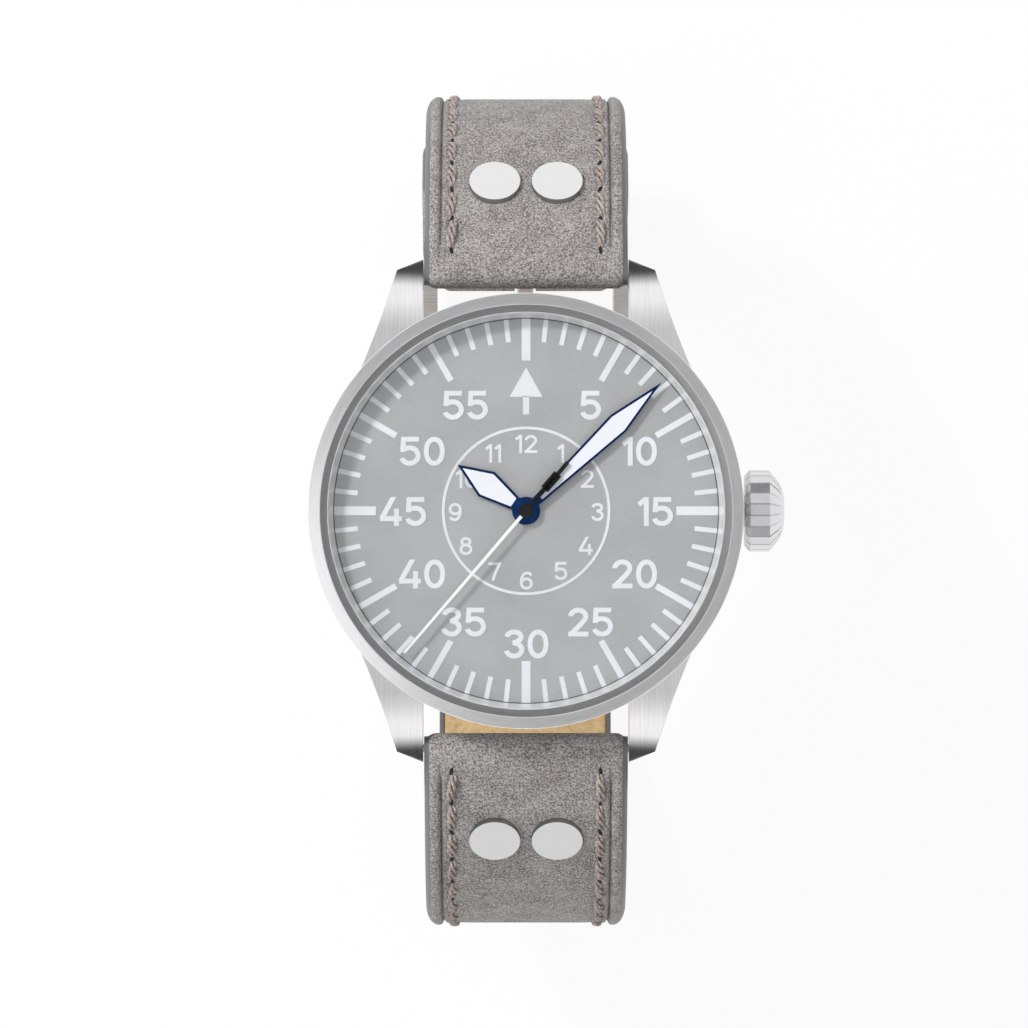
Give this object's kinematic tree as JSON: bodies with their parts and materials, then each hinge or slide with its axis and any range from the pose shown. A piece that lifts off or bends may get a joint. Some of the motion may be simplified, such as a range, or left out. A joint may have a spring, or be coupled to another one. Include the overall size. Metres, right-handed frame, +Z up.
{
  "type": "pilot watch",
  "caption": "Round steel pilot watch with leaf hands, fluted crown, riveted leather strap standing in an open loop, pin buckle and a geared movement inside.",
  "frame": {"origin": "under the dial's centre, on the flat that the strap stands on", "axes": "+X towards the crown, +Y towards twelve o'clock along the strap, +Z up out of the dial"},
  "size_m": [0.046, 0.0836, 0.0659],
  "materials": {
    "brushed_case_steel": "brushed",
    "polished_steel": "polished",
    "sapphire": "polished",
    "gasket_nylon": "matt",
    "gasket_rubber": "matt",
    "flange_steel": "polished",
    "dial_silver": "satin silver lacquer",
    "blued_steel": "blued and polished",
    "lume": "matt",
    "seconds_lacquer": "white needle with a black tail",
    "holder_plastic": "matt",
    "movement_plate": "rhodium plated brass",
    "wheel_brass": "gilt",
    "movement_steel": "satin",
    "strap_leather": "waxed grey brown",
    "strap_lining": "tan, smooth"
  },
  "bodies": {
    "case": {"case_body": "brushed_case_steel", "bezel": "brushed_case_steel", "crystal": "sapphire", "crystal_gasket": "gasket_nylon", "case_back": "brushed_case_steel", "case_back_gasket": "gasket_rubber", "flange_ring": "flange_steel", "dial": "dial_silver", "movement_ring": "holder_plastic", "main_plate": "movement_plate", "train_bridge": "movement_plate", "balance_cock": "movement_plate", "rotor_bearing": "movement_steel", "barrel_arbor": "movement_steel", "crown_tube": "polished_steel", "hairspring": "movement_steel", "upper_spring_bar": "polished_steel", "lower_spring_bar": "polished_steel"},
    "upper_strap": {"upper_strap_leather": "strap_leather", "upper_strap_lining": "strap_lining", "upper_rivets": "polished_steel", "fixed_keeper": "strap_leather"},
    "free_keeper": {"loose_keeper": "strap_leather"},
    "buckle": {"buckle_frame": "polished_steel", "buckle_bar": "polished_steel"},
    "tang": {"buckle_tang": "polished_steel"},
    "lower_strap": {"lower_strap_leather": "strap_leather", "lower_strap_lining": "strap_lining", "lower_rivets": "polished_steel"},
    "upper_right_tip": {"upper_right_bar_tip": "polished_steel"},
    "upper_left_tip": {"upper_left_bar_tip": "polished_steel"},
    "lower_right_tip": {"lower_right_bar_tip": "polished_steel"},
    "lower_left_tip": {"lower_left_bar_tip": "polished_steel"},
    "setting": {"setting_lever": "movement_steel"},
    "crown_and_stem": {"crown": "polished_steel", "crown_gasket": "gasket_rubber", "winding_stem": "polished_steel", "sliding_pinion": "movement_steel"},
    "winding": {"winding_pinion": "movement_steel"},
    "winding_rotor": {"rotor": "movement_steel"},
    "minute_work": {"minute_hand": "blued_steel", "minute_hand_lume": "lume", "cannon_pinion": "movement_steel"},
    "hour_work": {"hour_hand": "blued_steel", "hour_hand_lume": "lume", "hour_wheel": "wheel_brass"},
    "motion_wheel": {"minute_wheel": "wheel_brass"},
    "seconds_work": {"seconds_hand": "seconds_lacquer", "fourth_wheel": "wheel_brass"},
    "third_work": {"third_wheel": "wheel_brass"},
    "centre_work": {"centre_wheel": "wheel_brass"},
    "barrel": {"mainspring_barrel": "wheel_brass"},
    "escape_work": {"escape_wheel": "movement_steel"},
    "fork": {"pallet_fork": "movement_steel"},
    "balance": {"balance_wheel": "wheel_brass"}
  },
  "joints": [
    {"name": "upper_strap_hinge", "type": "hinge", "parent": "case", "child": "upper_strap", "pos_m": [0, 0.0231, 0.0574], "axis": [1, 0, 0], "range_deg": [0, 75]},
    {"name": "lower_strap_hinge", "type": "hinge", "parent": "case", "child": "lower_strap", "pos_m": [0, -0.0231, 0.0574], "axis": [1, 0, 0], "range_deg": [-75, 0]},
    {"name": "buckle_hinge", "type": "hinge", "parent": "upper_strap", "child": "buckle", "pos_m": [0, 0.0243, 0.00556], "axis": [1, 0, 0], "range_deg": [-95, 8]},
    {"name": "tang_hinge", "type": "hinge", "parent": "buckle", "child": "tang", "pos_m": [0, 0.0243, 0.00556], "axis": [1, 0, 0], "range_deg": [0, 95]},
    {"name": "loose_keeper_slide", "type": "hinge", "parent": "upper_strap", "child": "free_keeper", "pos_m": [0, 0.0083, 0.0335], "axis": [1, 0, 0], "range_deg": [0, 24]},
    {"name": "crown_pull", "type": "slide", "parent": "case", "child": "setting", "axis": [1, 0, 0], "range_m": [0, 0.0012]},
    {"name": "crown_spin", "type": "hinge", "parent": "setting", "child": "crown_and_stem", "pos_m": [0.015, 0, 0.05901], "axis": [1, 0, 0], "continuous": true},
    {"name": "winding_pinion_spin", "type": "hinge", "parent": "case", "child": "winding", "pos_m": [0.012, 0, 0.05901], "axis": [1, 0, 0], "continuous": true},
    {"name": "rotor_spin", "type": "hinge", "parent": "case", "child": "winding_rotor", "pos_m": [0, 0, 0.05911], "axis": [0, 0, -1], "continuous": true},
    {"name": "minute_hand_turn", "type": "hinge", "parent": "case", "child": "minute_work", "pos_m": [0, 0, 0.05911], "axis": [0, 0, -1], "continuous": true},
    {"name": "hour_hand_turn", "type": "hinge", "parent": "case", "child": "hour_work", "pos_m": [0, 0, 0.05911], "axis": [0, 0, -1], "continuous": true},
    {"name": "minute_wheel_turn", "type": "hinge", "parent": "case", "child": "motion_wheel", "pos_m": [0.00282, 0.00103, 0.05911], "axis": [0, 0, -1], "continuous": true},
    {"name": "seconds_hand_turn", "type": "hinge", "parent": "case", "child": "seconds_work", "pos_m": [0, 0, 0.05911], "axis": [0, 0, -1], "continuous": true},
    {"name": "third_wheel_turn", "type": "hinge", "parent": "case", "child": "third_work", "pos_m": [-0.00442, -0.0031, 0.05911], "axis": [0, 0, -1], "continuous": true},
    {"name": "centre_wheel_turn", "type": "hinge", "parent": "case", "child": "centre_work", "pos_m": [0, 0, 0.05911], "axis": [0, 0, -1], "continuous": true},
    {"name": "barrel_turn", "type": "hinge", "parent": "case", "child": "barrel", "pos_m": [0.00109, 0.0062, 0.05911], "axis": [0, 0, -1], "continuous": true},
    {"name": "escape_wheel_turn", "type": "hinge", "parent": "case", "child": "escape_work", "pos_m": [0.00272, -0.00325, 0.05911], "axis": [0, 0, -1], "continuous": true},
    {"name": "fork_rock", "type": "hinge", "parent": "case", "child": "fork", "pos_m": [0.00485, -0.00473, 0.05911], "axis": [0, 0, 1], "range_deg": [-4, 4]},
    {"name": "balance_swing", "type": "hinge", "parent": "case", "child": "balance", "pos_m": [0.00661, -0.00596, 0.05911], "axis": [0, 0, 1], "range_deg": [-270, 270], "stiffness_Nm_per_rad": 0.0000001},
    {"name": "upper_right_tip_press", "type": "slide", "parent": "case", "child": "upper_right_tip", "axis": [-1, 0, 0], "range_m": [0, 0.00075], "stiffness_N_per_m": 400, "springref_m": -0.0005},
    {"name": "upper_left_tip_press", "type": "slide", "parent": "case", "child": "upper_left_tip", "axis": [1, 0, 0], "range_m": [0, 0.00075], "stiffness_N_per_m": 400, "springref_m": -0.0005},
    {"name": "lower_right_tip_press", "type": "slide", "parent": "case", "child": "lower_right_tip", "axis": [-1, 0, 0], "range_m": [0, 0.00075], "stiffness_N_per_m": 400, "springref_m": -0.0005},
    {"name": "lower_left_tip_press", "type": "slide", "parent": "case", "child": "lower_left_tip", "axis": [1, 0, 0], "range_m": [0, 0.00075], "stiffness_N_per_m": 400, "springref_m": -0.0005}
  ],
  "couplings": [
    {"joint": "hour_hand_turn", "follows": "minute_hand_turn", "ratio": 0.083333},
    {"joint": "minute_wheel_turn", "follows": "minute_hand_turn", "ratio": -0.33333},
    {"joint": "third_wheel_turn", "follows": "seconds_hand_turn", "ratio": -0.13333},
    {"joint": "centre_wheel_turn", "follows": "seconds_hand_turn", "ratio": 0.016667},
    {"joint": "barrel_turn", "follows": "seconds_hand_turn", "ratio": -0.0027778},
    {"joint": "escape_wheel_turn", "follows": "seconds_hand_turn", "ratio": -10},
    {"joint": "winding_pinion_spin", "follows": "crown_spin", "ratio": 1}
  ]
}
